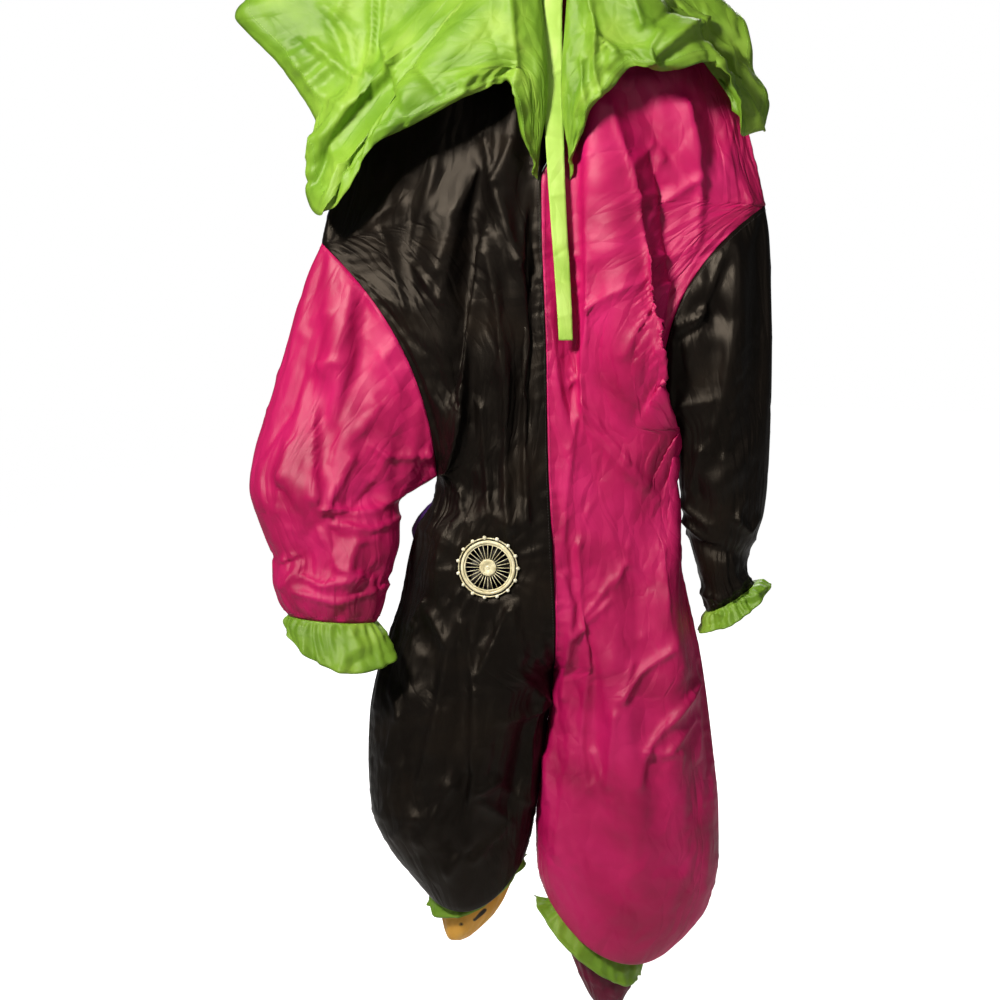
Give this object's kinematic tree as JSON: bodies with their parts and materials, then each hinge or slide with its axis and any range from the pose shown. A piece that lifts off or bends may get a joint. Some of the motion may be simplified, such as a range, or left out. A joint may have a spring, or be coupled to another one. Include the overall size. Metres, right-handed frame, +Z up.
{
  "type": "inflatable clown costume",
  "caption": "Limp, unfilled inflatable clown suit held at its neck, with a wide gathered collar, balloon sleeves and legs, frilled cuffs, foot covers and a small fan in one front.",
  "frame": {"origin": "middle of the neck opening, where the suit is held", "axes": "+Z up from the neck, -Y out of the suit's front, +X towards the wearer's left side"},
  "size_m": [0.8287, 0.2884, 1.6706],
  "materials": {
    "black_nylon": "thin glossy nylon, creased",
    "magenta_nylon": "thin glossy nylon, creased",
    "purple_nylon": "thin glossy nylon, creased",
    "lime_nylon": "thin glossy nylon, gathered",
    "lime_ribbon": "folded nylon ribbon, creased",
    "amber_nylon": "thin glossy nylon",
    "wine_nylon": "thin glossy nylon",
    "fan_plastic": "pale moulded plastic",
    "fan_dark_plastic": "dark moulded plastic"
  },
  "bodies": {
    "suit": {"front_right": "black_nylon", "front_left": "magenta_nylon", "back_right": "purple_nylon", "back_left": "magenta_nylon", "sleeve_right": "magenta_nylon", "sleeve_left": "black_nylon", "wrist_frill_right": "lime_nylon", "wrist_frill_left": "lime_nylon", "ankle_frill_right": "lime_nylon", "ankle_frill_left": "lime_nylon", "foot_cover_right": "amber_nylon", "foot_cover_left": "wine_nylon", "collar_right": "lime_nylon", "collar_left": "lime_nylon", "neckband": "lime_nylon", "tie": "lime_ribbon", "fan_bezel": "fan_plastic", "fan_grille": "fan_plastic", "fan_housing": "fan_dark_plastic"},
    "rotor": {"fan_rotor": "fan_plastic"}
  },
  "joints": [
    {"name": "fan_spin", "type": "hinge", "parent": "suit", "child": "rotor", "pos_m": [-0.092, -0.078, -0.929], "axis": [-0.1392, -0.9903, 0], "continuous": true}
  ]
}
